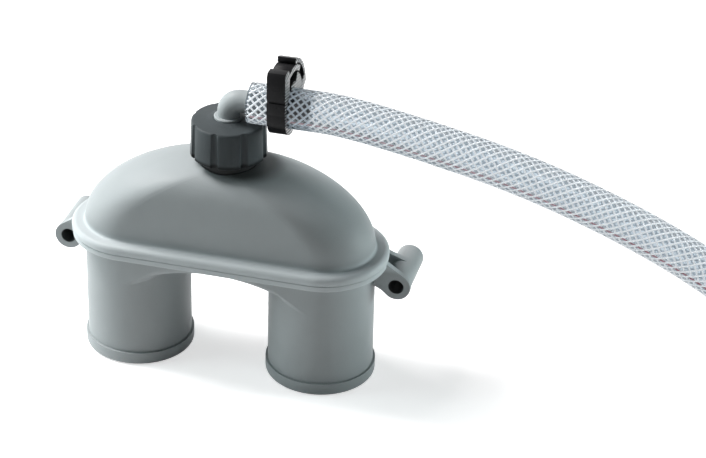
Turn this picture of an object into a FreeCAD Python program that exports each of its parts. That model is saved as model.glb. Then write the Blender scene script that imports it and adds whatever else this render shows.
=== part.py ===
import FreeCAD, Part
import math
import os

# Anti-siphon valve for a hose line, with its air hose.
# X runs along the housing, Y to the wall that it is screwed to, and Z up.
# The origin is midway between the two hose spigots, on the plane of their ends.
# All sizes are in millimetres.

vec = FreeCAD.Vector

# Hose spigots
spigot_spacing = 68.8
spigot_r = 19.0
spigot_wall = 2.6
bead_r = 19.85
bead_height = 4.8
bead_round = 1.2

# Rim where the two halves of the housing are bonded
flange_bottom_z = 45.4
flange_thick = 2.3
lip_thick = 3.2
rim_end_overhang = 4.8
rim_side_overhang = 4.3
flange_step = 0.3
lip_round = 1.7
flange_round = 0.4
parting_chamfer = 0.35
tongue_inset = 3.4
tongue_width = 1.6
tongue_depth = 1.3
bond_gap = 0.1

# Arched web between the spigots
arch_rise = 9.4
arch_crown_depth = 3.3
arch_edge_round = 2.5

# Hood
dome_end_ledge = 4.8
dome_side_ledge = 4.7
dome_height = 29.6
dome_foot_round = 0.8
dome_wall = 2.6
dome_side_power = 2.8
dome_rise_power = 5.0
dome_steps = (0, 13, 26, 39, 51, 62, 71, 78)

# Fixing lugs
lug_hole_reach = 3.3
lug_hole_drop = 7.1
lug_hole_r = 2.7
lug_tube_r = 4.8
lug_disc_r = 5.1
lug_plate_thick = 2.2
lug_edge_round = 1.6
rib_front_y = 10.5
rib_thick = 2.2

# Neck on top of the hood
neck_r = 10.2
neck_bore_r = 7.2
neck_root_depth = 3.5
neck_shelf_rise = 1.5
neck_rise = 9.5
port_r = 5.2

# Float valve in the neck
insert_clear = 0.05
cage_wall = 1.5
cage_height = 4.8
cage_floor = 1.2
hub_r = 2.2
hub_drop = 1.0
spoke_width = 1.3
spoke_count = 4
stem_r = 1.2
stem_clear = 0.06
stem_below = 1.6
float_r = 4.9
float_thick = 1.6
float_rest_gap = 0.05
pad_r = 4.3
pad_thick = 0.7
float_travel = 2.2
seat_hole_r = 2.4
seat_plate = 1.8
seat_lip_width = 0.6
seat_lip_height = 0.45
seat_wall = 1.3
ring_groove_height = 1.06
ring_groove_clear = 0.02
ring_cord_r = 0.48
ring_rise = 0.9

# Union nut
nut_skirt_depth = 7.5
nut_height = 13.45
nut_bottom_r = 13.6
nut_top_r = 13.15
nut_hole_clear = 0.12
thread_clear = 0.08
nut_groove_r = 1.5
nut_groove_depth = 1.0
nut_lobes = 8
nut_phase = -5.0
nut_edge_round = 0.5
nut_crown_round = 0.9
nut_cone_r = 8.0
nut_cone_rise = 0.8

# Elbow and its seal
seal_thick = 1.2
seal_r = 9.9
seal_hole_r = 3.2
axial_clear = 0.05
elbow_flange_r = 9.7
elbow_flange_thick = 1.75
collar_r = 5.2
collar_above_nut = 1.6
stem_outer_r = 4.0
elbow_bore_r = 2.4
elbow_bend_r = 4.4
outlet_rise = 13.4
tail_r = 3.55
tail_barb_r = 3.95
tail_barbs = 4
tail_barb_pitch = 5.2
hose_stop_x = 8.0

# Air hose
hose_r = 7.25
hose_bore_r = 4.0
coil_r = 75.0
coil_centre_x = 264.0
coil_layers = 2
coil_corner_angle = 15.0
# Places along the hose, and how much of its drop to the coil is still to come
hose_route = (
    (24.0, 1.0),
    (40.0, 1.0),
    (66.0, 0.9457),
    (102.0, 0.8502),
    (136.0, 0.7069),
    (166.0, 0.5372),
    (185.9, 0.3716),
    (202.0, 0.202),
    (221.6, 0.0687),
)

# Nylon hose clip with two interlocking jaws
clip_x = 16.35
clip_width = 6.5
clip_band = 2.1
clip_squeeze = 0.02
front_wall_reach = 9.35
front_wall_top = 16.7
front_notch_height = 6.1
front_notch_depth = 0.5
arm_inner_r = 13.2
arm_outer_r = 14.9
tongue_outer_r = 12.3
hook_inner_r = 15.9
hook_outer_r = 17.5
tooth_height = 0.55
tooth_angle = 4.5

spigot_x = spigot_spacing / 2
rim_half_length = spigot_x + spigot_r + rim_end_overhang
rim_half_width = spigot_r + rim_side_overhang
dome_half_length = rim_half_length - dome_end_ledge
dome_half_width = rim_half_width - dome_side_ledge
lug_hole_x = rim_half_length + lug_hole_reach
bore_r = spigot_r - spigot_wall
parting_z = flange_bottom_z + flange_thick
lip_top_z = parting_z + lip_thick
lug_hole_z = flange_bottom_z - lug_hole_drop
dome_top_z = lip_top_z + dome_height
neck_root_z = dome_top_z - neck_root_depth
neck_shelf_z = dome_top_z + neck_shelf_rise
neck_top_z = dome_top_z + neck_rise
nut_bottom_z = neck_top_z - nut_skirt_depth
nut_top_z = nut_bottom_z + nut_height
outlet_z = neck_top_z + outlet_rise


def cylinder(radius, low, high, x=0.0, y=0.0):
    return Part.makeCylinder(radius, high - low, vec(x, y, low))


def ring(outer, inner, low, high):
    return cylinder(outer, low, high).cut(cylinder(inner, low - 1, high + 1))


def turned(points):
    # Profile of radius and height pairs, turned about the upright axis
    corners = [vec(r, 0, z) for r, z in points]
    face = Part.Face(Part.makePolygon(corners + [corners[0]]))
    return face.revolve(vec(0, 0, 0), vec(0, 0, 1), 360)


def stadium_wire(half_length, half_width, z):
    # Two straight sides joined by half circles
    straight = half_length - half_width
    front_left = vec(-straight, -half_width, z)
    front_right = vec(straight, -half_width, z)
    back_right = vec(straight, half_width, z)
    back_left = vec(-straight, half_width, z)
    front = Part.makeLine(front_left, front_right)
    right = Part.Arc(front_right, vec(half_length, 0, z), back_right).toShape()
    back = Part.makeLine(back_right, back_left)
    left = Part.Arc(back_left, vec(-half_length, 0, z), front_left).toShape()
    return Part.Wire([front, right, back, left])


def stadium_block(half_length, half_width, low, high):
    face = Part.Face(stadium_wire(half_length, half_width, low))
    return face.extrude(vec(0, 0, high - low))


def rounded(shape, radius, wanted):
    edges = [e for e in shape.Edges if wanted(e)]
    return shape.makeFillet(radius, edges)


def lies_at(edge, z):
    box = edge.BoundBox
    return abs(box.ZMin - z) < 1e-4 and abs(box.ZMax - z) < 1e-4


def hood_block(half_length, half_width, height):
    # Loft up the hood: an elliptic ridge along X, and steep sides with round shoulders across it
    wires = [stadium_wire(half_length, half_width, parting_z - 1.0)]
    for step in dome_steps:
        rise = math.sin(math.radians(step))
        length = half_length * math.cos(math.radians(step))
        width = half_width * (1 - rise ** dome_rise_power) ** (1 / dome_side_power)
        wires.append(stadium_wire(length, width, lip_top_z + height * rise))
    return Part.makeLoft(wires, True, False)


def tongue_block(spare):
    mid_length = rim_half_length - tongue_inset
    mid_width = rim_half_width - tongue_inset
    half = tongue_width / 2 + spare
    low = parting_z - tongue_depth - spare
    outer = stadium_block(mid_length + half, mid_width + half, low, parting_z)
    inner = stadium_block(mid_length - half, mid_width - half, low - 1, parting_z + 1)
    return outer.cut(inner)


def is_hood_foot(edge):
    # The line where the hood stands on its ledge
    reach = max(edge.BoundBox.XMax, -edge.BoundBox.XMin)
    return lies_at(edge, lip_top_z) and reach < dome_half_length + 0.1 and edge.BoundBox.YMax < dome_half_width + 0.1


def upper_housing():
    lip = stadium_block(rim_half_length, rim_half_width, parting_z, lip_top_z)
    lip = rounded(lip, lip_round, lambda e: lies_at(e, lip_top_z))
    low_edges = [e for e in lip.Edges if lies_at(e, parting_z)]
    lip = lip.makeChamfer(parting_chamfer, low_edges)
    hood = hood_block(dome_half_length, dome_half_width, dome_height)
    above = Part.makeBox(400, 200, 200, vec(-200, -100, parting_z))
    hood = hood.common(above)
    neck = cylinder(neck_r, neck_root_z, neck_top_z)
    body = lip.fuse(hood)
    body = rounded(body, dome_foot_round, is_hood_foot)
    body = body.fuse(neck)
    inside = hood_block(dome_half_length - dome_wall, dome_half_width - dome_wall, dome_height - dome_wall)
    # The boss of the neck stays whole inside the hood
    inside = inside.cut(cylinder(neck_r, neck_root_z, neck_top_z))
    body = body.cut(inside)
    body = body.cut(cylinder(neck_bore_r, neck_shelf_z, neck_top_z + 1))
    body = body.cut(cylinder(port_r, neck_root_z - 5, neck_shelf_z + 1))
    return body.fuse(tongue_block(0)).removeSplitter()


def arch_cylinder(extra):
    # The underside between the spigots is an arch that runs out on their fronts
    radius = (spigot_x ** 2 + arch_rise ** 2) / (2 * arch_rise)
    crown = flange_bottom_z - arch_crown_depth
    centre = vec(0, -100, crown - radius)
    return Part.makeCylinder(radius + extra, 200, centre, vec(0, 1, 0))


def pan_block():
    foot_z = flange_bottom_z - arch_crown_depth - arch_rise
    pan = stadium_block(spigot_x + spigot_r, spigot_r, foot_z, flange_bottom_z)
    return pan.cut(arch_cylinder(0))


def is_arch_edge(edge):
    # Every point of such an edge lies on the underside of the arch
    radius = (spigot_x ** 2 + arch_rise ** 2) / (2 * arch_rise)
    centre_z = flange_bottom_z - arch_crown_depth - radius
    for share in (0, 0.5, 1):
        point = edge.valueAt(edge.FirstParameter + share * (edge.LastParameter - edge.FirstParameter))
        if abs(math.hypot(point.x, point.z - centre_z) - radius) > 1e-3:
            return False
    return True


def spigots_and_arch():
    body = pan_block()
    for side in (-1, 1):
        # The tube starts inside its bead, so that the bead alone makes the end
        body = body.fuse(cylinder(spigot_r, bead_height / 2, flange_bottom_z, side * spigot_x))
    return rounded(body.removeSplitter(), arch_edge_round, is_arch_edge)


def spigot_bead(side):
    bead = cylinder(bead_r, 0, bead_height, side * spigot_x)
    return rounded(bead, bead_round, lambda e: lies_at(e, 0))


def flow_space():
    foot_z = flange_bottom_z - arch_crown_depth - arch_rise
    space = stadium_block(spigot_x + bore_r, bore_r, foot_z, parting_z + 1)
    space = space.cut(arch_cylinder(spigot_wall))
    for side in (-1, 1):
        space = space.fuse(cylinder(bore_r, -1, parting_z + 1, side * spigot_x))
    return space


def plate(outline, front, thick):
    face = Part.Face(outline)
    return face.extrude(vec(0, thick, 0)).translated(vec(0, front, 0))


def tangent_point(px, pz, radius, side):
    # Point where a line from (px, pz) touches the circle round the lug hole
    dx = px - lug_hole_x
    dz = pz - lug_hole_z
    reach = math.hypot(dx, dz)
    angle = math.atan2(dz, dx) + side * math.acos(radius / reach)
    return lug_hole_x + radius * math.cos(angle), lug_hole_z + radius * math.sin(angle)


def lug_front_plate():
    # Straight upper edge down from the rim, hollow lower edge back to the spigot
    root_x = spigot_x + spigot_r - spigot_wall / 2
    top_x = rim_half_length - flange_step
    top_z = parting_z - parting_chamfer - 0.45
    touch_x, touch_z = tangent_point(top_x, top_z, lug_disc_r, -1)
    foot = vec(root_x, 0, lug_hole_z - 0.6)
    dip_angle = math.radians(225)
    dip = vec(lug_hole_x + lug_disc_r * math.cos(dip_angle), 0, lug_hole_z + lug_disc_r * math.sin(dip_angle))
    hollow = vec((foot.x + dip.x) / 2 + 0.3, 0, (foot.z + dip.z) / 2 + 0.5)
    bottom = vec(lug_hole_x + lug_disc_r * 0.6, 0, lug_hole_z - lug_disc_r * 0.8)
    touch = vec(touch_x, 0, touch_z)
    top = vec(top_x, 0, top_z)
    corner = vec(root_x, 0, top_z)
    edges = [
        Part.Arc(foot, hollow, dip).toShape(),
        Part.Arc(dip, bottom, touch).toShape(),
        Part.makeLine(touch, top),
        Part.makeLine(top, corner),
        Part.makeLine(corner, foot),
    ]
    return plate(Part.Wire(edges), 0, lug_plate_thick)


def lug_back_rib():
    # A second plate ties the tube to the spigot and the underside of the rim
    offset = rib_front_y + rib_thick
    root_x = spigot_x + math.sqrt(spigot_r ** 2 - offset ** 2) - spigot_wall / 2
    top_x = rim_half_length - 4.2
    top_z = flange_bottom_z + flange_thick / 3
    touch_x, touch_z = tangent_point(top_x, top_z, lug_tube_r, -1)
    foot_x, foot_z = tangent_point(root_x, lug_hole_z - 0.6, lug_tube_r, 1)
    points = [
        vec(root_x, 0, lug_hole_z - 0.6),
        vec(foot_x, 0, foot_z),
        vec(lug_hole_x, 0, lug_hole_z),
        vec(touch_x, 0, touch_z),
        vec(top_x, 0, top_z),
        vec(root_x, 0, top_z),
    ]
    return plate(Part.makePolygon(points + [points[0]]), rib_front_y, rib_thick)


def lug():
    tube = Part.makeCylinder(lug_tube_r, rim_half_width, vec(lug_hole_x, 0, lug_hole_z), vec(0, 1, 0))
    back = [e for e in tube.Edges if abs(e.BoundBox.YMin - rim_half_width) < 1e-4]
    tube = tube.makeFillet(lug_edge_round, back)
    return tube.fuse(lug_front_plate()).fuse(lug_back_rib())


def lug_hole():
    start = vec(lug_hole_x, -1, lug_hole_z)
    return Part.makeCylinder(lug_hole_r, rim_half_width + 2, start, vec(0, 1, 0))


def mirrored(shape):
    return shape.mirror(vec(0, 0, 0), vec(1, 0, 0))


def lower_housing():
    length = rim_half_length - flange_step
    width = rim_half_width - flange_step
    flange = stadium_block(length, width, flange_bottom_z, parting_z)
    flange = rounded(flange, flange_round, lambda e: lies_at(e, flange_bottom_z))
    top_edges = [e for e in flange.Edges if lies_at(e, parting_z)]
    flange = flange.makeChamfer(parting_chamfer, top_edges)
    body = flange.fuse(spigots_and_arch()).fuse(spigot_bead(1)).fuse(lug())
    # The right half is kept, and mirrored to make the left one
    half = body.common(Part.makeBox(400, 400, 400, vec(0, -200, -50)))
    body = half.fuse(mirrored(half)).removeSplitter()
    body = body.cut(flow_space()).cut(tongue_block(bond_gap))
    body = body.cut(lug_hole()).cut(mirrored(lug_hole()))
    return body.removeSplitter()


def float_cage():
    outer = neck_bore_r - insert_clear
    inner = outer - cage_wall
    floor_z = neck_shelf_z + cage_floor
    cup = ring(outer, inner, neck_shelf_z, neck_shelf_z + cage_height)
    hub = cylinder(hub_r, neck_shelf_z - hub_drop, floor_z)
    cage = cup.fuse(hub)
    for k in range(spoke_count):
        spoke = Part.makeBox(inner + cage_wall / 2, spoke_width, cage_floor, vec(0, -spoke_width / 2, neck_shelf_z))
        spoke.rotate(vec(0, 0, 0), vec(0, 0, 1), 360 * k / spoke_count)
        cage = cage.fuse(spoke)
    hole = cylinder(stem_r + stem_clear, neck_shelf_z - hub_drop - 1, floor_z + 1)
    return cage.cut(hole).removeSplitter()


def float_low_z():
    return neck_shelf_z + cage_floor + float_rest_gap


def float_disc():
    low = float_low_z()
    disc = cylinder(float_r, low, low + float_thick)
    disc = disc.makeChamfer(float_thick / 4, [e for e in disc.Edges if lies_at(e, low)])
    stem = cylinder(stem_r, neck_shelf_z - hub_drop - stem_below, low + float_thick / 2)
    return disc.fuse(stem).removeSplitter()


def float_pad():
    low = float_low_z() + float_thick
    return cylinder(pad_r, low, low + pad_thick)


def seat_lip_z():
    # The pad meets the lip at the top of the float's travel
    return float_low_z() + float_thick + pad_thick + float_travel


def valve_seat():
    outer = neck_bore_r - insert_clear
    low = neck_shelf_z + cage_height
    plate_z = seat_lip_z() + seat_lip_height
    body = turned([
        (seat_hole_r, neck_top_z),
        (seat_hole_r, seat_lip_z()),
        (seat_hole_r + seat_lip_width, seat_lip_z()),
        (seat_hole_r + seat_lip_width, plate_z),
        (outer - seat_wall, plate_z),
        (outer - seat_wall, low),
        (outer, low),
        (outer, neck_top_z),
    ])
    groove_z = plate_z + ring_rise - ring_groove_height / 2
    groove_r = ring_middle_r() - ring_cord_r - ring_groove_clear
    return body.cut(ring(outer + 1, groove_r, groove_z, groove_z + ring_groove_height))


def ring_middle_r():
    return neck_bore_r - ring_cord_r - insert_clear / 2


def seat_ring():
    # An eight-sided section, drawn inside the round of the real ring
    centre_z = seat_lip_z() + seat_lip_height + ring_rise
    points = []
    for k in range(8):
        angle = math.radians(45 * k)
        points.append((ring_middle_r() + ring_cord_r * math.cos(angle), centre_z + ring_cord_r * math.sin(angle)))
    return turned(points)


def elbow_seal():
    return ring(seal_r, seal_hole_r, neck_top_z, neck_top_z + seal_thick)


def barbed_tail():
    # Straight tail along X with a row of saw-tooth barbs, as a turned profile
    start = elbow_bend_r
    end = hose_stop_x + tail_barbs * tail_barb_pitch
    points = [(0, start), (stem_outer_r, start), (stem_outer_r, hose_stop_x - 0.4)]
    points.append((tail_barb_r, hose_stop_x - 0.4))
    for k in range(tail_barbs):
        root = hose_stop_x + k * tail_barb_pitch
        points.append((tail_r if k else tail_barb_r, root))
        points.append((tail_barb_r, root + 0.2 * tail_barb_pitch))
        points.append((tail_r, root + 0.95 * tail_barb_pitch))
    points.append((tail_r, end))
    points.append((0, end))
    tail = turned(points)
    tail.rotate(vec(0, 0, 0), vec(0, 1, 0), 90)
    return tail.translated(vec(0, 0, outlet_z))


def quarter_bend(radius):
    # A quarter turn from straight up to straight along X
    start = vec(0, 0, outlet_z - elbow_bend_r)
    circle = Part.makeCircle(radius, start, vec(0, 0, 1))
    face = Part.Face(Part.Wire(circle))
    return face.revolve(start + vec(elbow_bend_r, 0, 0), vec(0, 1, 0), 90)


def hose_elbow():
    low = neck_top_z + seal_thick + axial_clear
    bend_z = outlet_z - elbow_bend_r
    flange = cylinder(elbow_flange_r, low, low + elbow_flange_thick)
    collar = cylinder(collar_r, low, nut_top_z + collar_above_nut)
    collar_edges = [e for e in collar.Edges if lies_at(e, nut_top_z + collar_above_nut)]
    collar = collar.makeChamfer(0.3, collar_edges)
    stem = cylinder(stem_outer_r, low, bend_z)
    body = flange.fuse(collar).fuse(stem).fuse(quarter_bend(stem_outer_r)).fuse(barbed_tail())
    bore = cylinder(elbow_bore_r, low - 1, bend_z)
    end = hose_stop_x + tail_barbs * tail_barb_pitch
    run = Part.makeCylinder(elbow_bore_r, end, vec(elbow_bend_r, 0, outlet_z), vec(1, 0, 0))
    return body.cut(bore.fuse(quarter_bend(elbow_bore_r)).fuse(run)).removeSplitter()


def union_nut():
    inner_r = neck_r + thread_clear
    cover_z = neck_top_z + seal_thick + 2 * axial_clear + elbow_flange_thick
    hole_r = collar_r + nut_hole_clear
    points = [
        (inner_r, nut_bottom_z),
        (nut_bottom_r - nut_edge_round, nut_bottom_z),
        (nut_bottom_r, nut_bottom_z + nut_edge_round),
    ]
    for degrees in (0, 30, 60, 90):
        # The round of the crown in three short steps
        across = nut_crown_round * (1 - math.cos(math.radians(degrees)))
        below = nut_crown_round * (1 - math.sin(math.radians(degrees)))
        points.append((nut_top_r - across, nut_top_z - below))
    points.extend([(nut_cone_r, nut_top_z), (hole_r, nut_top_z + nut_cone_rise), (hole_r, cover_z), (inner_r, cover_z)])
    body = turned(points)
    reach = (nut_bottom_r + nut_top_r) / 2 + nut_groove_r - nut_groove_depth
    for k in range(nut_lobes):
        angle = math.radians(nut_phase + 360 * k / nut_lobes)
        groove = cylinder(nut_groove_r, nut_bottom_z - 1, nut_top_z + 2, reach * math.cos(angle), reach * math.sin(angle))
        body = body.cut(groove)
    return body


def polar(radius, degrees):
    # Angles go from the wall side towards the top, about the hose's axis
    a = math.radians(degrees)
    return vec(clip_x, radius * math.cos(a), outlet_z + radius * math.sin(a))


def sector(inner, outer, low, high):
    mid = (low + high) / 2
    edges = [
        Part.Arc(polar(outer, low), polar(outer, mid), polar(outer, high)).toShape(),
        Part.makeLine(polar(outer, high), polar(inner, high)),
        Part.Arc(polar(inner, high), polar(inner, mid), polar(inner, low)).toShape(),
        Part.makeLine(polar(inner, low), polar(outer, low)),
    ]
    return Part.Face(Part.Wire(edges)).extrude(vec(clip_width, 0, 0))


def slab(points):
    corners = [vec(clip_x, y, outlet_z + z) for y, z in points]
    return Part.Face(Part.makePolygon(corners + [corners[0]])).extrude(vec(clip_width, 0, 0))


def toothed(root, tip, low, high):
    # Saw teeth on a round face, standing from radius root to radius tip
    count = int((high - low) / tooth_angle)
    points = [polar(root, low)]
    for k in range(count):
        a = low + k * tooth_angle
        points.append(polar(tip, a + 0.25 * tooth_angle))
        points.append(polar(root, a + tooth_angle))
    base = root - math.copysign(0.5, tip - root)
    points.append(polar(base, low + count * tooth_angle))
    for k in range(count - 1, 0, -2):
        points.append(polar(base, low + k * tooth_angle))
    points.append(polar(base, low))
    return Part.Face(Part.makePolygon(points + [points[0]])).extrude(vec(clip_width, 0, 0))


def hose_clip():
    inner = hose_r + clip_squeeze
    outer = inner + clip_band
    band = sector(inner, outer, 116, 290).fuse(sector(inner, outer, 290, 460))
    front_jaw = slab([
        (-front_wall_reach, 1.2),
        (-front_wall_reach, front_notch_height - 0.45),
        (-front_wall_reach + front_notch_depth, front_notch_height - 0.3),
        (-front_wall_reach + front_notch_depth, front_notch_height + 0.3),
        (-front_wall_reach, front_notch_height + 0.45),
        (-front_wall_reach, front_wall_top - 1.3),
        (-front_wall_reach + 1.0, front_wall_top),
        (-5.0, front_wall_top),
        (-3.6, front_wall_top - 1.9),
        (-3.7, 7.6),
    ])
    core = Part.makeCylinder(outer - 0.6, clip_width, vec(clip_x, 0, outlet_z), vec(1, 0, 0))
    front_jaw = front_jaw.cut(core)
    arm = sector(arm_inner_r, arm_outer_r, 50, 108)
    arm_teeth = toothed(arm_outer_r, arm_outer_r + tooth_height, 51, 100)
    tongue = sector(outer - 0.3, tongue_outer_r, 2, 62)
    tongue_teeth = toothed(tongue_outer_r, tongue_outer_r + tooth_height, 24, 61)
    root = sector(outer - 0.3, hook_outer_r, 8, 22).fuse(slab([(8.9, -2.4), (12.8, -0.4), (16.4, 2.4), (9.3, 2.4)]).cut(core))
    hook = sector(hook_inner_r, hook_outer_r, 20, 77)
    hook_lip = sector(arm_outer_r + tooth_height + 0.15, hook_outer_r, 71, 77)
    clip = band
    for piece in (front_jaw, arm, arm_teeth, tongue, tongue_teeth, root, hook, hook_lip):
        clip = clip.fuse(piece)
    return clip.removeSplitter()


def hose_points():
    # The seen stretch sags from the tail, then the hose comes down on its own coil
    landing_z = hose_r * (2 * coil_layers - 1)
    points = [vec(hose_stop_x, 0, outlet_z)]
    for x, share in hose_route:
        points.append(vec(x, 0, landing_z + share * (outlet_z - landing_z)))
    corner_x = coil_centre_x - coil_r * math.tan(math.radians(coil_corner_angle))
    points.append(vec(corner_x, 0, landing_z))
    points.append(vec(coil_centre_x, 0, landing_z))
    return points


def rounded_path(points):
    # Straight runs joined by arcs that are as large as their two runs allow
    edges = []
    last = points[0]
    for before, corner, after in zip(points, points[1:], points[2:]):
        inward = (before - corner).normalize()
        outward = (after - corner).normalize()
        turn = math.pi - inward.getAngle(outward)
        if turn < 0.001:
            # A point on a straight run makes no bend
            continue
        run = min(before.distanceToPoint(corner), corner.distanceToPoint(after))
        reach = 0.45 * run
        radius = reach / math.tan(turn / 2)
        start = corner + inward * reach
        end = corner + outward * reach
        middle = corner + (inward + outward).normalize() * (radius / math.cos(turn / 2) - radius)
        print("bend radius", round(radius, 1), "turn", round(math.degrees(turn), 1))
        edges.append(Part.makeLine(last, start))
        edges.append(Part.Arc(start, middle, end).toShape())
        last = end
    edges.append(Part.makeLine(last, points[-1]))
    return Part.Wire(edges)


def air_hose():
    path = rounded_path(hose_points())
    outer = Part.Wire(Part.makeCircle(hose_r, hose_points()[0], vec(1, 0, 0)))
    inner = Part.Wire(Part.makeCircle(hose_bore_r, hose_points()[0], vec(1, 0, 0)))
    tube = path.makePipeShell([outer], True, False)
    space = path.makePipeShell([inner], True, False)
    hose = tube.cut(space)
    section = math.pi * (hose_r ** 2 - hose_bore_r ** 2)
    print("hose length", round(path.Length, 1), "volume over section", round(hose.Volume / section, 1))
    return hose


def air_hose_coil():
    # Outer shape of the turns that lie on each other beside the valve
    height = 2 * hose_r * coil_layers
    centre = vec(coil_centre_x, coil_r, 0)
    outer = Part.makeCylinder(coil_r + hose_r, height, centre)
    coil = outer.cut(Part.makeCylinder(coil_r - hose_r, height, centre))
    edges = [e for e in coil.Edges if lies_at(e, 0) or lies_at(e, height)]
    return coil.makeChamfer(0.5 * hose_r, edges)


def save(name, shape):
    print(name, "valid", shape.isValid(), "solids", len(shape.Solids), "volume", round(shape.Volume, 1))
    if len(shape.Solids) == 1:
        shape = shape.Solids[0]
    shape.exportStep("parts/" + name + ".step")


def main():
    os.makedirs("parts", exist_ok=True)
    save("lower_housing", lower_housing())
    save("upper_housing", upper_housing())
    save("float_cage", float_cage())
    save("float_disc", float_disc())
    save("float_pad", float_pad())
    save("valve_seat", valve_seat())
    save("seat_ring", seat_ring())
    save("elbow_seal", elbow_seal())
    save("hose_elbow", hose_elbow())
    save("union_nut", union_nut())
    save("hose_clip", hose_clip())
    save("air_hose", air_hose())
    save("air_hose_coil", air_hose_coil())


main()
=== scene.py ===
# Anti-siphon valve with a braided air hose, dressed on its CAD frame.
# Every length is in metres, in the frame of the CAD part.

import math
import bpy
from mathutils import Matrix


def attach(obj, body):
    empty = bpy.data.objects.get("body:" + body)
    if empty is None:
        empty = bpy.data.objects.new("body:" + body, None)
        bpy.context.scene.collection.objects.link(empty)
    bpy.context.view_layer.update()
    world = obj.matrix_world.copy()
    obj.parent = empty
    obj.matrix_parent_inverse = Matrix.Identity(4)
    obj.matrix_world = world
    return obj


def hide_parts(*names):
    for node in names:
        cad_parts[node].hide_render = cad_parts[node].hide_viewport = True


bl_info = {
    "name": "Anti-siphon Valve",
    "version": (1, 0, 0),
    "blender": (4, 5, 0),
    "location": "3D View > Sidebar > Valve",
    "description": "Dresses the CAD frame of a vented loop valve and its braided air hose",
    "category": "Object",
}

import bpy
from mathutils import Vector

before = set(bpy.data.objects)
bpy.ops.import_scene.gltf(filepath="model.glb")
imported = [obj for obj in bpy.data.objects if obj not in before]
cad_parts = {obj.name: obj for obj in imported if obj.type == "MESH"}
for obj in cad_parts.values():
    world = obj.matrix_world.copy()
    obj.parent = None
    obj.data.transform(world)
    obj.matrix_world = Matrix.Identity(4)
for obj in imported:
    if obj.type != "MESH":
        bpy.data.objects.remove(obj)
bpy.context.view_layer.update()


# The camera, the floor and the lamps

CAMERA_PLACE = (0.22240, -0.71219, 0.48825)
CAMERA_AIM = (0.001796, 0.010738, 0.045)
CAMERA_LENS = 123.75
CAMERA_SENSOR = 36.0
CAMERA_SHIFT = (0.1561, 0.0027)
CAMERA_CLIP = (0.01, 50)
FLOOR_Z = -0.0002
FLOOR_GREY = 0.80
FLOOR_GLOW = 0.62
ROOM_TINT = (0.94, 0.97, 1)
LAMP_AIM = (0.02, 0.0, 0.06)
# Name, place, width and height, power in watts, tint
LAMPS = (
    ("High left", (-0.80, 0.10, 0.85), (0.3, 0.3), 8.3, (1.0, 0.970, 0.965)),
    ("Top left", (-0.55, 0.15, 0.85), (0.5, 0.5), 8.2, (1.0, 0.970, 0.970)),
    ("Front left", (-0.75, -0.30, 0.65), (0.3, 0.3), 2.1, (0.84, 0.98, 1.0)),
    ("Low left", (-0.95, -0.10, 0.22), (0.4, 0.4), 3.6, (0.90, 1.0, 1.0)),
    ("Right", (0.95, 0.25, 0.15), (0.3, 0.3), 5.6, (0.88, 1.0, 1.0)),
)


# The hose's route as in the part's source, in degrees for the turns of the put-away coil

OUTLET_Z = 0.1034
HOSE_STOP_X = 0.0080
# Distance along X and share of the drop from the outlet that is still above the coil
HOSE_ROUTE = (
    (0.0240, 1.0),
    (0.0400, 1.0),
    (0.0660, 0.9457),
    (0.1020, 0.8502),
    (0.1360, 0.7069),
    (0.1660, 0.5372),
    (0.1859, 0.3716),
    (0.2020, 0.202),
    (0.2216, 0.0687),
)
COIL_FIRST_POINT = 15.0
COIL_POINT_STEP = 30.0
RAMP_START = 250.0
RAMP_ANGLE = 70.0
COIL_TURNED = 605.0


# The braid

OUTER_LAYER_RADIUS = 0.00615
INNER_LAYER_RADIUS = 0.00560
TRACER_RADIUS = 0.005875
TRACER_WIDTH = 0.0008
TRACER_THICKNESS = 0.0002
TRACER_ANGLE = 201.0
YARN_END_GAP = 0.0004
YARN_STEPS_PER_TURN = 24
TRACER_STEP = 0.003
HOSE_SIDES = 36


# Zones of painted shade, of a painted highlight on the rim and of the tracer's paler colour, each as the
# places where the mark starts and ends to fade, and its strength

# Painted shadow of the nut on the hood, centred off the axis towards the right
NUT_SHADOW_CENTRE = (0.0050, 0.0008, 0)
NUT_SHADOW_EDGE = (0.0100, 0.0165, 0.80)
# Painted shadow on the neck under the nut
NECK_SHADOW_EDGE = (0.0103, 0.0110, 0.97)
ABOVE_RIM = (0.066, 0.074, 1.0)
BELOW_ELBOW = (0.0900, 0.0905, 1.0)
# Band of the rim that carries a painted highlight
RIM_LOW = (0.0430, 0.0456, 1.0)
RIM_HIGH = (0.0508, 0.0532, 0.90)
# Painted shade inside the screw holes of the lugs
SCREW_HOLE = (0.0615, 0, 0.0383)
SCREW_HOLE_SHADE_EDGE = (0.00268, 0.00290, 0.92)
# Painted shade on the elbow under its outlet
OUTLET_SIDE = (0.0010, 0.0065, 0.95)
UNDER_OUTLET = (0.0985, 0.1060, 1.0)
ABOVE_NUT = (0.0905, 0.0910, 1.0)
# Painted shade on the elbow's tail inside the hose, past the clip
TAIL_PAST_CLIP = (0.0205, 0.0230, 0.92)
TAIL_IN_HOSE = (0.0940, 0.0945, 1.0)
# Painted shade on the nut's foot
NUT_FOOT = (0.0833, 0.0846, 0.90)
# Painted shade on the yarns over the elbow's tail
YARNS_PAST_CLIP = (0.0190, 0.0205, 1.0)
YARNS_ON_TAIL = (0.0295, 0.0325, 1.0)
TRACER_PALE_NEAR_ELBOW = (0.04, 0.20, 0.85)

# Share of the base colour that each zone of painted shade keeps, or that the rim's painted highlight raises
# it to

PAINTED_SHADE_SHARE = 0.16
NECK_SHADOW_SHARE = 0.03
RIM_HIGHLIGHT_SHARE = 1.5
TAIL_SHADE_SHARES = (0.05, 0.07, 0.09)
NUT_FOOT_SHADE_SHARE = 0.15

# Sizes and strengths of the fine variation in the materials

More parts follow.
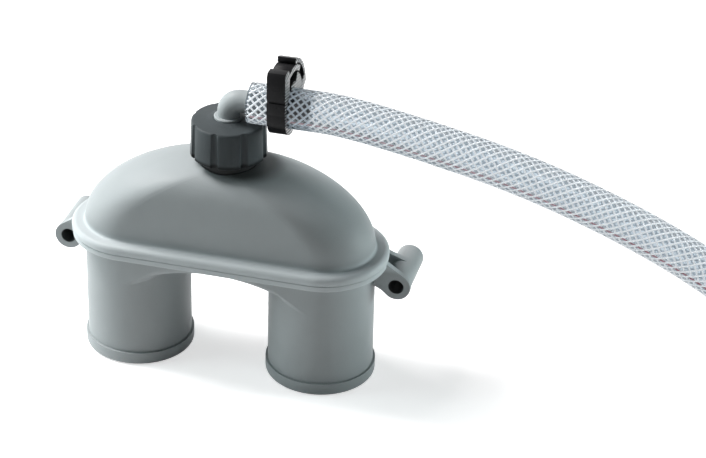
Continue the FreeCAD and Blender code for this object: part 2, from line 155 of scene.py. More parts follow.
CLOUD_SIZE = 0.014
SHEEN_SIZE = 0.004
GLOSS_SPREAD = 0.05
GRAIN_STRENGTH = 0.5
FIBRE_SIZE = 0.0004
FIBRE_SHARE = 0.85
RIPPLE_SIZE = 0.006
RIPPLE_STRENGTH = 0.25
RIPPLE_HEIGHT = 0.0002

# Painted glow of the yarns, their colours, and the painted glints on the clip's ridges

YARN_GLOW = 0.36
TAIL_GLOW_SHARE = 0.35
TRACER_GLOW = 0.15
YARN_SHADE_ON_TAIL = (0.52, 0.60, 0.68)
TRACER_PALE_COLOUR = (0.50, 0.38, 0.42)
# Painted glints on the clip's ridges
RIDGE_GLINT_COLOUR = (0.48, 0.48, 0.49)
RIDGE_GLINT_EDGE = (0.55, 0.85, 1.0)
# Height above which the ridges belong to the clip's hook
HOOK_Z = OUTLET_Z + 0.0130


# Helpers for modelling by operators

def deselect_everything():
    if bpy.context.mode != "OBJECT":
        bpy.ops.object.mode_set(mode="OBJECT")
    bpy.ops.object.select_all(action="DESELECT")


def make_active(piece):
    deselect_everything()
    piece.select_set(True)
    bpy.context.view_layer.objects.active = piece


def apply_modifiers(piece):
    make_active(piece)
    for modifier in list(piece.modifiers):
        bpy.ops.object.modifier_apply(modifier=modifier.name)


def node_copy(node, name):
    # A merged copy of a CAD node, to be bevelled and to replace it
    piece = bpy.data.objects.new(name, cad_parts[node].data.copy())
    bpy.context.scene.collection.objects.link(piece)
    piece.data.name = name
    make_active(piece)
    if piece.data.has_custom_normals:
        bpy.ops.mesh.customdata_custom_splitnormals_clear()
    bpy.ops.object.mode_set(mode="EDIT")
    bpy.ops.mesh.select_all(action="SELECT")
    bpy.ops.mesh.remove_doubles(threshold=0.000002)
    bpy.ops.mesh.dissolve_limited(angle_limit=math.radians(0.4))
    bpy.ops.object.mode_set(mode="OBJECT")
    return piece


def bevel_edges(piece, width, segments, angle):
    bevel = piece.modifiers.new("Edge rounds", "BEVEL")
    bevel.width = width
    bevel.segments = segments
    bevel.limit_method = "ANGLE"
    bevel.angle_limit = math.radians(angle)
    bevel.use_clamp_overlap = True
    apply_modifiers(piece)


def smooth_by_angle(piece, angle):
    make_active(piece)
    bpy.ops.object.shade_smooth_by_angle(angle=math.radians(angle))


def finish_piece(piece, material, body, slot, *nodes):
    piece.data.materials.clear()
    piece.data.materials.append(material)
    for polygon in piece.data.polygons:
        polygon.material_index = 0
    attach(piece, body)
    if nodes:
        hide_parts(*nodes)


def dress_node(node, material):
    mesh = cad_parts[node].data
    for index in range(len(mesh.materials)):
        mesh.materials[index] = material


# Helpers for materials

def new_material(name, colour, roughness):
    material = bpy.data.materials.new(name)
    material.use_nodes = True
    shader = material.node_tree.nodes["Principled BSDF"]
    shader.inputs["Base Color"].default_value = (*colour, 1.0)
    shader.inputs["Roughness"].default_value = roughness
    return material, shader


def add_node(material, kind, **settings):
    node = material.node_tree.nodes.new(kind)
    for key, value in settings.items():
        setattr(node, key, value)
    return node


def join(material, source, target):
    material.node_tree.links.new(source, target)


def object_place(material):
    return add_node(material, "ShaderNodeTexCoord").outputs["Object"]


def object_parts(material):
    # The X, Y and Z of the place on the part
    parts = add_node(material, "ShaderNodeSeparateXYZ")
    join(material, object_place(material), parts.inputs["Vector"])
    return parts.outputs


def add_noise(material, size, detail=2.0):
    # Noise whose grains are about the given size across
    noise = add_node(material, "ShaderNodeTexNoise")
    noise.inputs["Scale"].default_value = 1.0 / size
    noise.inputs["Detail"].default_value = detail
    join(material, object_place(material), noise.inputs["Vector"])
    return noise


def add_range(material, source, low, high):
    # Spreads the middle half of a noise from the low value to the high value
    spread = add_node(material, "ShaderNodeMapRange")
    spread.inputs["From Min"].default_value = 0.25
    spread.inputs["From Max"].default_value = 0.75
    spread.inputs["To Min"].default_value = low
    spread.inputs["To Max"].default_value = high
    join(material, source, spread.inputs["Value"])
    return spread


def add_bump(material, shader, noise, strength, height):
    bump = add_node(material, "ShaderNodeBump")
    bump.inputs["Strength"].default_value = strength
    bump.inputs["Distance"].default_value = height
    join(material, noise.outputs["Fac"], bump.inputs["Height"])
    join(material, bump.outputs["Normal"], shader.inputs["Normal"])


def shaded(colour, share):
    return [c * share for c in colour]


def moulded_plastic(name, colour, roughness, grain, grain_height, mottle=0.05, specular=0.5):
    # Spark-eroded mould grain, cloudy colour and uneven gloss
    material, shader = new_material(name, colour, roughness)
    shader.inputs["Specular IOR Level"].default_value = specular
    clouds = add_noise(material, CLOUD_SIZE, 3.0)
    tone = add_node(material, "ShaderNodeMix", data_type="RGBA")
    tone.inputs["A"].default_value = (*shaded(colour, 1 - mottle), 1.0)
    tone.inputs["B"].default_value = (*[min(1, c * (1 + mottle)) for c in colour], 1.0)
    join(material, clouds.outputs["Fac"], tone.inputs["Factor"])
    join(material, tone.outputs["Result"], shader.inputs["Base Color"])
    sheen = add_noise(material, SHEEN_SIZE)
    gloss = add_range(material, sheen.outputs["Fac"], roughness - GLOSS_SPREAD, roughness + GLOSS_SPREAD)
    join(material, gloss.outputs["Result"], shader.inputs["Roughness"])
    add_bump(material, shader, add_noise(material, grain), GRAIN_STRENGTH, grain_height)
    return material, shader


def smooth_step(material, source, start, end, low, high):
    # Eases from the low value at the start to the high value at the end
    step = add_node(material, "ShaderNodeMapRange", interpolation_type="SMOOTHSTEP")
    step.inputs["From Min"].default_value = start
    step.inputs["From Max"].default_value = end
    step.inputs["To Min"].default_value = low
    step.inputs["To Max"].default_value = high
    join(material, source, step.inputs["Value"])
    return step.outputs["Result"]


def rising(material, source, zone):
    start, end, strength = zone
    return smooth_step(material, source, start, end, 0.0, strength)


def falling(material, source, zone):
    start, end, strength = zone
    return smooth_step(material, source, start, end, strength, 0.0)


def multiply(material, first, *others):
    for other in others:
        node = add_node(material, "ShaderNodeMath", operation="MULTIPLY")
        join(material, first, node.inputs[0])
        join(material, other, node.inputs[1])
        first = node.outputs["Value"]
    return first


def vector_math(material, operation, source, other=(0, 0, 0)):
    node = add_node(material, "ShaderNodeVectorMath", operation=operation)
    node.inputs[1].default_value = other
    join(material, source, node.inputs[0])
    return node.outputs["Vector" if operation == "MULTIPLY" else "Value"]


def blend_to(material, shader, mask, colour):
    # Blends the base colour towards another where the mask is one
    blend = add_node(material, "ShaderNodeMix", data_type="RGBA")
    join(material, shader.inputs["Base Color"].links[0].from_socket, blend.inputs["A"])
    blend.inputs["B"].default_value = (*colour, 1.0)
    join(material, mask, blend.inputs["Factor"])
    join(material, blend.outputs["Result"], shader.inputs["Base Color"])


def housing_plastic(finish):
    # Painted shade under the nut, on its neck, in the screw holes, below the outlet and on the tail inside
    # the hose, and a painted highlight on the rim
    grey = finish.housing_colour
    material, shader = moulded_plastic(
        "Housing plastic", grey, roughness=0.50, grain=0.00070, grain_height=0.00006, specular=0.20
    )
    # Colour of the painted shade under the nut, in the screw holes and below the outlet
    painted_shade = shaded(grey, PAINTED_SHADE_SHARE)
    parts = object_parts(material)

    flat = vector_math(material, "MULTIPLY", object_place(material), (1, 1, 0))
    # Painted shadow of the nut on the hood round the neck
    nut_shadow = falling(material, vector_math(material, "DISTANCE", flat, NUT_SHADOW_CENTRE), NUT_SHADOW_EDGE)
    # Painted shadow on the neck itself, nearly black
    neck_shadow = falling(material, vector_math(material, "LENGTH", flat), NECK_SHADOW_EDGE)
    # Height band under the nut in which both painted shadows lie
    below_nut = multiply(
        material,
        rising(material, parts["Z"], ABOVE_RIM),
        falling(material, parts["Z"], BELOW_ELBOW),
    )
    blend_to(material, shader, multiply(material, nut_shadow, below_nut), painted_shade)
    blend_to(material, shader, multiply(material, neck_shadow, below_nut), shaded(grey, NECK_SHADOW_SHARE))

    # Painted highlight on the rim
    rim_highlight = multiply(material, rising(material, parts["Z"], RIM_LOW), falling(material, parts["Z"], RIM_HIGH))
    blend_to(material, shader, rim_highlight, shaded(grey, RIM_HIGHLIGHT_SHARE))

    # Painted shade inside the screw holes, on both sides
    side = add_node(material, "ShaderNodeMath", operation="ABSOLUTE")
    join(material, parts["X"], side.inputs[0])
    both_sides = add_node(material, "ShaderNodeCombineXYZ")
    join(material, side.outputs["Value"], both_sides.inputs["X"])
    join(material, parts["Z"], both_sides.inputs["Z"])
    from_hole = vector_math(material, "DISTANCE", both_sides.outputs["Vector"], SCREW_HOLE)
    blend_to(material, shader, falling(material, from_hole, SCREW_HOLE_SHADE_EDGE), painted_shade)

    # Painted shade on the elbow under its outlet
    shade_below_outlet = multiply(
        material,
        rising(material, parts["X"], OUTLET_SIDE),
        falling(material, parts["Z"], UNDER_OUTLET),
        rising(material, parts["Z"], ABOVE_NUT),
    )
    blend_to(material, shader, shade_below_outlet, painted_shade)

    # Painted shade on the elbow's tail inside the hose, past the clip
    tail_shade = multiply(
        material,
        rising(material, parts["X"], TAIL_PAST_CLIP),
        rising(material, parts["Z"], TAIL_IN_HOSE),
    )
    blend_to(material, shader, tail_shade, [c * share for c, share in zip(grey, TAIL_SHADE_SHARES)])
    return material


def nut_plastic(finish):
    # Painted shade on the foot, which turns under towards the hood
    colour = finish.nut_colour
    material, shader = moulded_plastic(
        "Nut plastic", colour, roughness=0.40, grain=0.0005, grain_height=0.00006, mottle=0.08, specular=0.07
    )
    parts = object_parts(material)
    blend_to(material, shader, falling(material, parts["Z"], NUT_FOOT), shaded(colour, NUT_FOOT_SHADE_SHARE))
    return material


def valve_plastic(finish):
    return moulded_plastic(
        "Valve plastic", finish.valve_colour, roughness=0.35, grain=0.0004, grain_height=0.00002
    )[0]


def seal_rubber(finish):
    return moulded_plastic(
        "Seal rubber", finish.rubber_colour, roughness=0.75, grain=0.0003, grain_height=0.00004, mottle=0.15
    )[0]


def ridge_lines(material, lean, pitch):
    # Lines of painted glint across the side faces of the clip, leaning by an angle and one pitch apart
    turn = add_node(material, "ShaderNodeMapping")
    turn.inputs["Rotation"].default_value = (math.radians(lean), 0, 0)
    lines = add_node(material, "ShaderNodeTexWave", bands_direction="Z", wave_profile="SIN")
    lines.inputs["Scale"].default_value = math.pi / 10 / pitch
    lines.inputs["Distortion"].default_value = 0.6
    lines.inputs["Detail"].default_value = 1.0
    join(material, object_place(material), turn.inputs["Vector"])
    join(material, turn.outputs["Vector"], lines.inputs["Vector"])
    return lines.outputs["Fac"]


def clip_nylon(finish):
    # Glossy nylon whose side faces carry painted glints along fine moulded ridges, which lean more on the
    # hook
    black = finish.clip_colour
    material, shader = moulded_plastic(
        "Clip nylon", black, roughness=0.30, grain=0.0009, grain_height=0.00004, mottle=0.1, specular=0.11
    )
    parts = object_parts(material)
    on_hook = add_node(material, "ShaderNodeMath", operation="GREATER_THAN")
    on_hook.inputs[1].default_value = HOOK_Z
    join(material, parts["Z"], on_hook.inputs[0])
    lines = add_node(material, "ShaderNodeMix", data_type="FLOAT")
    join(material, on_hook.outputs["Value"], lines.inputs["Factor"])
    join(material, ridge_lines(material, lean=12.0, pitch=0.00110), lines.inputs["A"])
    join(material, ridge_lines(material, lean=49.0, pitch=0.00105), lines.inputs["B"])
    side = add_node(material, "ShaderNodeAttribute", attribute_name="side_face")
    ridge_glints = multiply(material, side.outputs["Fac"], lines.outputs["Result"])
    blend_to(material, shader, rising(material, ridge_glints, RIDGE_GLINT_EDGE), RIDGE_GLINT_COLOUR)
    return material


def mark_side_faces(piece):
    # One on the flat faces at both sides of the clip, nought elsewhere
    mark = piece.data.attributes.new("side_face", "FLOAT", "FACE")
    for polygon in piece.data.polygons:
        mark.data[polygon.index].value = 1.0 if abs(polygon.normal.x) > 0.95 else 0.0


def clear_pvc(finish):
    # Clear skin, a slightly dull bore and a wall that takes up a little light
    material, shader = new_material("Clear hose", finish.hose_colour, 0.07)
    bore = add_node(material, "ShaderNodeAttribute", attribute_name="in_bore")
    tint = add_node(material, "ShaderNodeMix", data_type="RGBA")
    tint.inputs["A"].default_value = (*finish.hose_colour, 1.0)
    tint.inputs["B"].default_value = (*finish.bore_colour, 1.0)
    join(material, bore.outputs["Fac"], tint.inputs["Factor"])
    join(material, tint.outputs["Result"], shader.inputs["Base Color"])
    shader.inputs["Transmission Weight"].default_value = 1.0
    shader.inputs["IOR"].default_value = 1.45
    add_bump(material, shader, add_noise(material, RIPPLE_SIZE), RIPPLE_STRENGTH, RIPPLE_HEIGHT)
    wall = add_node(material, "ShaderNodeVolumeAbsorption")
    wall.inputs["Color"].default_value = (*finish.wall_colour, 1.0)
    wall.inputs["Density"].default_value = finish.wall_density
    output = material.node_tree.nodes["Material Output"]
    join(material, wall.outputs["Volume"], output.inputs["Volume"])
    return material


def yarn_material(name, colour, glow):
    # Twisted filaments, with a painted glow for the light that the clear wall leads to them
    material, shader = new_material(name, colour, 0.45)
    shader.inputs["Sheen Weight"].default_value = 0.2
    shader.inputs["Emission Color"].default_value = (*colour, 1.0)
    shader.inputs["Emission Strength"].default_value = glow
    fibre = add_noise(material, FIBRE_SIZE)
    tone = add_node(material, "ShaderNodeMix", data_type="RGBA")
    tone.inputs["A"].default_value = (*shaded(colour, FIBRE_SHARE), 1.0)
    tone.inputs["B"].default_value = (*colour, 1.0)
    join(material, fibre.outputs["Fac"], tone.inputs["Factor"])
    join(material, tone.outputs["Result"], shader.inputs["Base Color"])
    return material, shader


def braid_material(finish):
    # Painted shade where the yarns lie over the elbow's darkened tail, which lets no light through, with a
    # weaker painted glow there
    material, shader = yarn_material("White yarn", finish.yarn_colour, YARN_GLOW)
    parts = object_parts(material)
    shade_over_tail = multiply(
        material,
        rising(material, parts["X"], YARNS_PAST_CLIP),
        falling(material, parts["X"], YARNS_ON_TAIL),
    )
    blend_to(material, shader, shade_over_tail, YARN_SHADE_ON_TAIL)
    glow = add_node(material, "ShaderNodeMapRange")
    glow.inputs["To Min"].default_value = YARN_GLOW
    glow.inputs["To Max"].default_value = YARN_GLOW * TAIL_GLOW_SHARE
    join(material, shade_over_tail, glow.inputs["Value"])
    join(material, glow.outputs["Result"], shader.inputs["Emission Strength"])
    return material


def tracer_material(finish):
    # Paler pinkish grey near the elbow, full red further along
    material, shader = yarn_material("Red yarn", finish.tracer_colour, TRACER_GLOW)
    parts = object_parts(material)
    blend_to(material, shader, falling(material, parts["X"], TRACER_PALE_NEAR_ELBOW), TRACER_PALE_COLOUR)
    return material


# The air hose's line

def route_points(sizes):
    # The same route as in the part's source, then the turns of the put-away coil
    floor_z = sizes.hose_diameter / 2
    top_z = 3 * floor_z
    drop = OUTLET_Z - top_z
    points = [Vector((HOSE_STOP_X, 0, OUTLET_Z))]
    for x, share in HOSE_ROUTE:
        points.append(Vector((x, 0, top_z + share * drop)))
    first = math.radians(COIL_FIRST_POINT)
    reach = sizes.coil_radius / math.cos(first)
    corner_x = sizes.coil_centre_x - sizes.coil_radius * math.tan(first)
    points.append(Vector((corner_x, 0, top_z)))
    turned = COIL_FIRST_POINT
    while turned < COIL_TURNED:
        sink = min(max((turned - RAMP_START) / RAMP_ANGLE, 0), 1)
        angle = math.radians(turned - 90)
        x = sizes.coil_centre_x + reach * math.cos(angle)
        y = sizes.coil_radius + reach * math.sin(angle)
        points.append(Vector((x, y, top_z + sink * (floor_z - top_z))))
        turned += COIL_POINT_STEP
    angle = math.radians(COIL_TURNED - 90)
    x = sizes.coil_centre_x + sizes.coil_radius * math.cos(angle)
    y = sizes.coil_radius + sizes.coil_radius * math.sin(angle)
    points.append(Vector((x, y, floor_z)))
    return points


def hose_line(sizes):
    # Points read from the route's own NURBS spline
    curve = bpy.data.curves.new("Hose route", "CURVE")
    curve.dimensions = "3D"
    curve.resolution_u = 14
    spline = curve.splines.new("NURBS")
    points = route_points(sizes)
    spline.points.add(len(points) - 1)
    for point, place in zip(spline.points, points):
        point.co = (*place, 1.0)
    spline.order_u = 3
    spline.use_endpoint_u = True
    route = bpy.data.objects.new("Hose route", curve)
    bpy.context.scene.collection.objects.link(route)
    bpy.context.view_layer.update()
    mesh = bpy.data.meshes.new_from_object(route)
    line = [v.co.copy() for v in mesh.vertices]
    bpy.data.meshes.remove(mesh)
    bpy.data.objects.remove(route)
    return line


class HoseFrame:
    """Place and two cross directions at any distance along the hose."""

    def __init__(self, line):
        self.line = line
        self.marks = [0.0]
        for a, b in zip(line, line[1:]):
            self.marks.append(self.marks[-1] + (b - a).length)
        tangents = []
        for index in range(len(line)):
            before = line[max(index - 1, 0)]
            after = line[min(index + 1, len(line) - 1)]
            tangents.append((after - before).normalized())
        side = Vector((0, 1, 0))
        self.sides = []
        for tangent in tangents:
            side = (side - tangent * side.dot(tangent)).normalized()
            self.sides.append(side.copy())
        self.tangents = tangents
        self.index = 0

    def length(self):
        return self.marks[-1]

    def at(self, distance):
        while self.index > 0 and self.marks[self.index] > distance:
            self.index -= 1
        while self.index < len(self.line) - 2 and self.marks[self.index + 1] < distance:
            self.index += 1
        k = self.index
        share = (distance - self.marks[k]) / (self.marks[k + 1] - self.marks[k])
        place = self.line[k].lerp(self.line[k + 1], share)
        tangent = self.tangents[k].lerp(self.tangents[k + 1], share).normalized()
        side = self.sides[k].lerp(self.sides[k + 1], share)
        side = (side - tangent * side.dot(tangent)).normalized()
        return place, tangent, side, tangent.cross(side)


def new_piece(name, verts, faces):
    mesh = bpy.data.meshes.new(name)
    mesh.from_pydata([tuple(v) for v in verts], [], faces)
    mesh.update()
    piece = bpy.data.objects.new(name, mesh)
    bpy.context.scene.collection.objects.link(piece)
    return piece


def tube_with_bore(name, line, outer, bore, sides):
    # One closed wall, an outer skin and a bore joined at both cut ends
    path = HoseFrame(line)
    verts = []
    faces = []
    rings = len(line)
    for radius in (outer, bore):
        for mark in path.marks:
            place, _, side, up = path.at(mark)
            for k in range(sides):
                angle = 2 * math.pi * k / sides
                verts.append(place + (side * math.cos(angle) + up * math.sin(angle)) * radius)
    shift = rings * sides
    for r in range(rings - 1):
        for k in range(sides):
            a = r * sides + k
            b = r * sides + (k + 1) % sides
            faces.append((a, b, b + sides, a + sides))
            faces.append((shift + a, shift + a + sides, shift + b + sides, shift + b))
    last = (rings - 1) * sides
    for k in range(sides):
        n = (k + 1) % sides
        faces.append((k, shift + k, shift + n, n))
        faces.append((last + k, last + n, shift + last + n, shift + last + k))
    piece = new_piece(name, verts, faces)
    mark = piece.data.attributes.new("in_bore", "FLOAT", "FACE")
    for polygon in piece.data.polygons:
        mark.data[polygon.index].value = 1.0 if min(polygon.vertices) >= shift else 0.0
    return piece


def spiral_yarns(name, line, yarns, radius, lead, hand, width, thick, first_angle=0.0):
    # Lens-shaped yarns wound at one radius inside the wall, or straight where the lead is nought
    path = HoseFrame(line)
    verts = []
    faces = []
    step_length = lead / YARN_STEPS_PER_TURN if lead else TRACER_STEP
    steps = int(path.length() / step_length)
    wind = hand * 2 * math.pi / lead if lead else 0.0
    for yarn in range(yarns):
        base = len(verts)
        for step in range(steps + 1):
            distance = YARN_END_GAP + (path.length() - 2 * YARN_END_GAP) * step / steps
            place, tangent, side, up = path.at(distance)
            angle = first_angle + 2 * math.pi * yarn / yarns + wind * distance
            outward = side * math.cos(angle) + up * math.sin(angle)
            round_way = up * math.cos(angle) - side * math.sin(angle)
            along = (tangent + round_way * wind * radius).normalized()
            across = along.cross(outward)
            centre = place + outward * radius
            verts.append(centre - across * width / 2)
            verts.append(centre + outward * thick / 2)
            verts.append(centre + across * width / 2)
            verts.append(centre - outward * thick / 2)
        for step in range(steps):
            for k in range(4):
                a = base + step * 4 + k
                b = base + step * 4 + (k + 1) % 4
                faces.append((a, a + 4, b + 4, b))
        end = base + steps * 4
        faces.append((base, base + 1, base + 2, base + 3))
        faces.append((end + 3, end + 2, end + 1, end))
    piece = new_piece(name, verts, faces)
    for polygon in piece.data.polygons:
        polygon.use_smooth = True
    return piece


# Settings that a user would change

def colour(label, words, default):
    return bpy.props.FloatVectorProperty(
        name=label, description=words, default=default, subtype="COLOR", min=0, max=1
    )


def length(label, words, default):
    return bpy.props.FloatProperty(
        name=label, description=words, default=default, min=0, unit="LENGTH", precision=5
    )


def number(label, words, default):
    return bpy.props.FloatProperty(name=label, description=words, default=default, min=0)


def count(label, words, default):
    return bpy.props.IntProperty(name=label, description=words, default=default, min=2)


class ValveFinishSettings(bpy.types.PropertyGroup):
    housing_colour: colour("Housing", "Grey of the moulded housing and elbow", (0.335, 0.365, 0.372))
    nut_colour: colour("Union nut", "Dark grey of the union nut", (0.060, 0.070, 0.074))
    clip_colour: colour("Hose clip", "Black of the nylon clip", (0.008, 0.008, 0.009))
    hose_colour: colour("Hose", "Tint of the clear hose wall", (0.95, 0.97, 0.98))
    bore_colour: colour("Hose bore", "Duller tint of the hose's bore", (0.80, 0.86, 0.91))
    wall_colour: colour("Hose wall", "Light that the hose's wall lets through best", (0.20, 0.28, 0.34))
    wall_density: number("Wall density", "How much light the wall takes up in a metre", 122.0)
    yarn_colour: colour("Yarn", "White of the braid", (0.86, 0.88, 0.90))
    tracer_colour: colour("Tracer", "Red of the single tracer yarn", (0.34, 0.09, 0.13))
    valve_colour: colour("Float valve", "Off-white of the float valve", (0.62, 0.62, 0.58))
    rubber_colour: colour("Seals", "Black of the rubber seals", (0.015, 0.015, 0.015))


class ValveSizeSettings(bpy.types.PropertyGroup):
    hose_diameter: length("Hose diameter", "Outside diameter of the air hose", 0.0145)
    hose_bore: length("Hose bore", "Inside diameter of the air hose", 0.0080)
    coil_radius: length("Coil radius", "Radius of the put-away turns at the hose's middle", 0.075)
    coil_centre_x: length("Coil place", "Distance of the coil's centre from the origin", 0.264)
    yarn_width: length("Yarn width", "Width of one braid yarn", 0.00072)
    yarn_thickness: length("Yarn thickness", "Thickness of one braid yarn", 0.00032)
    yarn_lead: length("Yarn lead", "Length in which a yarn goes once round", 0.041)
    yarn_count: count("Yarns", "Yarns that run in each direction", 14)
    nut_edge_round: length("Nut edge round", "Round on the edges of the union nut", 0.00035)
    clip_edge_round: length("Clip edge round", "Round on the edges of the hose clip", 0.00022)


class ValveStageSettings(bpy.types.PropertyGroup):
    floor_size: length("Floor", "Side of the square floor", 6.0)
    light_level: number("Light level", "Multiplies the power of every lamp", 1.0)
    room_light: number("Room light", "Strength of the light from all round", 0.02)


# The stage

def seen_directly(tree):
    # One where the camera, a reflection or a clear wall sees the surface
    rays = tree.nodes.new("ShaderNodeLightPath")
    seen = rays.outputs["Is Camera Ray"]
    for kind in ("Is Glossy Ray", "Is Transmission Ray"):
        either = tree.nodes.new("ShaderNodeMath")
        either.operation = "MAXIMUM"
        tree.links.new(seen, either.inputs[0])
        tree.links.new(rays.outputs[kind], either.inputs[1])
        seen = either.outputs["Value"]
    return seen


def white_to_the_eye(world, room_light):
    # Pure white where it is seen, and a dim light from all round otherwise
    world.use_nodes = True
    tree = world.node_tree
    tree.nodes.clear()
    output = tree.nodes.new("ShaderNodeOutputWorld")
    white = tree.nodes.new("ShaderNodeBackground")
    white.inputs["Color"].default_value = (1, 1, 1, 1)
    white.inputs["Strength"].default_value = 1.0
    room = tree.nodes.new("ShaderNodeBackground")
    room.inputs["Color"].default_value = (*ROOM_TINT, 1)
    room.inputs["Strength"].default_value = room_light
    mix = tree.nodes.new("ShaderNodeMixShader")
    tree.links.new(seen_directly(tree), mix.inputs["Fac"])
    tree.links.new(room.outputs["Background"], mix.inputs[1])
    tree.links.new(white.outputs["Background"], mix.inputs[2])
    tree.links.new(mix.outputs["Shader"], output.inputs["Surface"])


def floor_material():
    # Matt white that still takes the object's shadow
    material = bpy.data.materials.new("Floor")
    material.use_nodes = True
    tree = material.node_tree
    tree.nodes.clear()
    output = tree.nodes.new("ShaderNodeOutputMaterial")
    matt = tree.nodes.new("ShaderNodeBsdfDiffuse")
    matt.inputs["Color"].default_value = (FLOOR_GREY, FLOOR_GREY, FLOOR_GREY, 1)
    glow = tree.nodes.new("ShaderNodeEmission")
    glow.inputs["Color"].default_value = (1, 1, 1, 1)
    strength = tree.nodes.new("ShaderNodeMath")
    strength.operation = "MULTIPLY"
    strength.inputs[1].default_value = FLOOR_GLOW
    both = tree.nodes.new("ShaderNodeAddShader")
    tree.links.new(seen_directly(tree), strength.inputs[0])
    tree.links.new(strength.outputs["Value"], glow.inputs["Strength"])
    tree.links.new(matt.outputs["BSDF"], both.inputs[0])
    tree.links.new(glow.outputs["Emission"], both.inputs[1])
    tree.links.new(both.outputs["Shader"], output.inputs["Surface"])
    return material


def soft_light(name, place, aim, size, power, tint):
    lamp = bpy.data.lights.new(name, "AREA")
    lamp.shape = "RECTANGLE"
    lamp.size, lamp.size_y = size
    lamp.energy = power
    lamp.color = tint
    light = bpy.data.objects.new(name, lamp)
    light.location = place
    light.rotation_euler = (Vector(aim) - Vector(place)).to_track_quat("-Z", "Y").to_euler()
    bpy.context.scene.collection.objects.link(light)


def photo_camera():
    camera = bpy.data.objects.new("Camera", bpy.data.cameras.new("Camera"))
    bpy.context.scene.collection.objects.link(camera)
    camera.data.lens = CAMERA_LENS
    camera.data.sensor_width = CAMERA_SENSOR
    camera.data.shift_x, camera.data.shift_y = CAMERA_SHIFT
    camera.data.clip_start, camera.data.clip_end = CAMERA_CLIP
    camera.location = CAMERA_PLACE
    look = Vector(CAMERA_AIM) - Vector(CAMERA_PLACE)
    camera.rotation_euler = look.to_track_quat("-Z", "Y").to_euler()
    return camera


class VALVE_OT_build_stage(bpy.types.Operator):
    """Sets the floor, the lights and the camera at the photograph's angle"""

    bl_idname = "valve.build_stage"
    bl_label = "Stage"

    def execute(self, context):
        stage = context.scene.valve_stage
        deselect_everything()
        bpy.ops.mesh.primitive_plane_add(size=stage.floor_size, location=(0, 0, FLOOR_Z))
        floor = context.active_object
        floor.name = "Floor"
        make_active(floor)
        bpy.ops.object.transform_apply(location=True, rotation=True, scale=True)
        floor.data.materials.append(floor_material())
        world = bpy.data.worlds.new("Room")
        context.scene.world = world
        white_to_the_eye(world, stage.room_light)
        for name, place, size, power, tint in LAMPS:
            soft_light(name, place, LAMP_AIM, size, power * stage.light_level, tint)
        context.scene.camera = photo_camera()
        context.scene.view_settings.view_transform = "Standard"
        return {"FINISHED"}


class VALVE_OT_finish_housing(bpy.types.Operator):
    """Gives both halves of the housing and the elbow their moulded plastic"""

    bl_idname = "valve.finish_housing"
    bl_label = "Housing and elbow"

    def execute(self, context):
        plastic = housing_plastic(context.scene.valve_finish)
        for node in ("lower_housing", "upper_housing", "hose_elbow"):
            dress_node(node, plastic)
        return {"FINISHED"}


class VALVE_OT_finish_float_valve(bpy.types.Operator):
    """Gives the float valve, its seat and the seals their plastic and rubber"""

    bl_idname = "valve.finish_float_valve"
    bl_label = "Float valve and seals"

    def execute(self, context):
        finish = context.scene.valve_finish
        plastic = valve_plastic(finish)
        rubber = seal_rubber(finish)
        for node in ("float_cage", "float_disc", "valve_seat"):
            dress_node(node, plastic)
        for node in ("float_pad", "seat_ring", "elbow_seal"):
            dress_node(node, rubber)
        return {"FINISHED"}


class VALVE_OT_add_union_nut(bpy.types.Operator):
    """Adds the lobed union nut with its rounded edges"""

    bl_idname = "valve.add_union_nut"
    bl_label = "Union nut"

    def execute(self, context):
        nut = node_copy("union_nut", "union_nut_rounded")
        bevel_edges(nut, context.scene.valve_sizes.nut_edge_round, segments=3, angle=35)
        smooth_by_angle(nut, 38)
        finish_piece(nut, nut_plastic(context.scene.valve_finish), "nut", "nut_plastic", "union_nut")
        return {"FINISHED"}


class VALVE_OT_add_hose_clip(bpy.types.Operator):
    """Adds the black nylon clip with its interlocking jaws"""

    bl_idname = "valve.add_hose_clip"
    bl_label = "Hose clip"

    def execute(self, context):
        clip = node_copy("hose_clip", "hose_clip_rounded")
        bevel_edges(clip, context.scene.valve_sizes.clip_edge_round, segments=2, angle=40)
        smooth_by_angle(clip, 35)
        mark_side_faces(clip)
        finish_piece(clip, clip_nylon(context.scene.valve_finish), "elbow", "clip_nylon", "hose_clip")
        return {"FINISHED"}


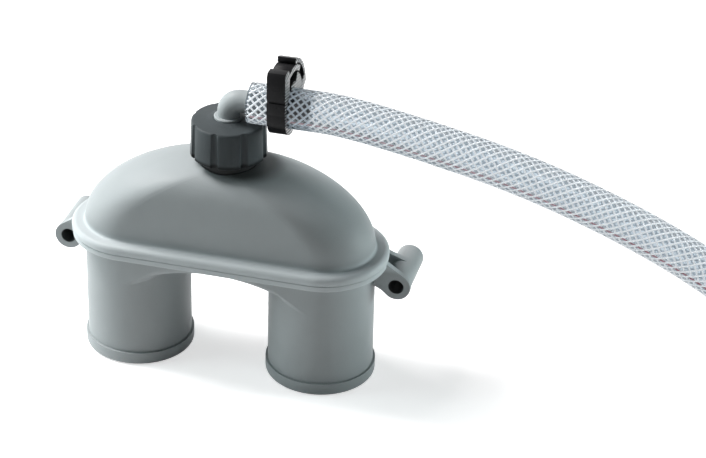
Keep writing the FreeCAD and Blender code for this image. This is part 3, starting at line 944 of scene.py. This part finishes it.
class VALVE_OT_add_air_hose(bpy.types.Operator):
    """Adds the clear hose, its two layers of yarn and the red tracer"""

    bl_idname = "valve.add_air_hose"
    bl_label = "Air hose"

    def execute(self, context):
        sizes = context.scene.valve_sizes
        finish = context.scene.valve_finish
        line = hose_line(sizes)
        outside, inside = sizes.hose_diameter / 2, sizes.hose_bore / 2
        hose = tube_with_bore("air_hose_wall", line, outside, inside, HOSE_SIDES)
        smooth_by_angle(hose, 50)
        finish_piece(hose, clear_pvc(finish), "elbow", "hose_pvc", "air_hose", "air_hose_coil")
        yarn = braid_material(finish)
        red = tracer_material(finish)
        yarns, lead = sizes.yarn_count, sizes.yarn_lead
        width, thick = sizes.yarn_width, sizes.yarn_thickness
        outer = spiral_yarns("yarn_layer_outer", line, yarns, OUTER_LAYER_RADIUS, lead, -1, width, thick)
        inner = spiral_yarns("yarn_layer_inner", line, yarns, INNER_LAYER_RADIUS, lead, 1, width, thick)
        width, thick = TRACER_WIDTH, TRACER_THICKNESS
        first = math.radians(TRACER_ANGLE)
        tracer = spiral_yarns("yarn_tracer", line, 1, TRACER_RADIUS, 0, 0, width, thick, first)
        finish_piece(outer, yarn, "elbow", "hose_braid")
        finish_piece(inner, yarn, "elbow", "hose_braid")
        finish_piece(tracer, red, "elbow", "hose_tracer")
        total = HoseFrame(line).length()
        return {"FINISHED"}


class VALVE_PT_panel(bpy.types.Panel):
    """Lists the valve's pieces and their settings"""

    bl_idname = "VALVE_PT_panel"
    bl_label = "Anti-siphon Valve"
    bl_space_type = "VIEW_3D"
    bl_region_type = "UI"
    bl_category = "Valve"

    def draw(self, context):
        layout = self.layout
        for operator in PIECE_OPERATORS:
            layout.operator(operator.bl_idname)
        for group in (context.scene.valve_sizes, context.scene.valve_finish, context.scene.valve_stage):
            box = layout.box()
            for name in group.__annotations__:
                box.prop(group, name)


PIECE_OPERATORS = (
    VALVE_OT_build_stage,
    VALVE_OT_finish_housing,
    VALVE_OT_finish_float_valve,
    VALVE_OT_add_union_nut,
    VALVE_OT_add_hose_clip,
    VALVE_OT_add_air_hose,
)
SETTING_GROUPS = (ValveFinishSettings, ValveSizeSettings, ValveStageSettings)


def register():
    for group in SETTING_GROUPS:
        bpy.utils.register_class(group)
    bpy.types.Scene.valve_finish = bpy.props.PointerProperty(type=ValveFinishSettings)
    bpy.types.Scene.valve_sizes = bpy.props.PointerProperty(type=ValveSizeSettings)
    bpy.types.Scene.valve_stage = bpy.props.PointerProperty(type=ValveStageSettings)
    for operator in PIECE_OPERATORS:
        bpy.utils.register_class(operator)
    bpy.utils.register_class(VALVE_PT_panel)


def unregister():
    bpy.utils.unregister_class(VALVE_PT_panel)
    for operator in reversed(PIECE_OPERATORS):
        bpy.utils.unregister_class(operator)
    del bpy.types.Scene.valve_stage
    del bpy.types.Scene.valve_sizes
    del bpy.types.Scene.valve_finish
    for group in reversed(SETTING_GROUPS):
        bpy.utils.unregister_class(group)


def main():
    register()
    bpy.ops.valve.build_stage()
    bpy.ops.valve.finish_housing()
    bpy.ops.valve.finish_float_valve()
    bpy.ops.valve.add_union_nut()
    bpy.ops.valve.add_hose_clip()
    bpy.ops.valve.add_air_hose()


if __name__ == "__main__":
    main()
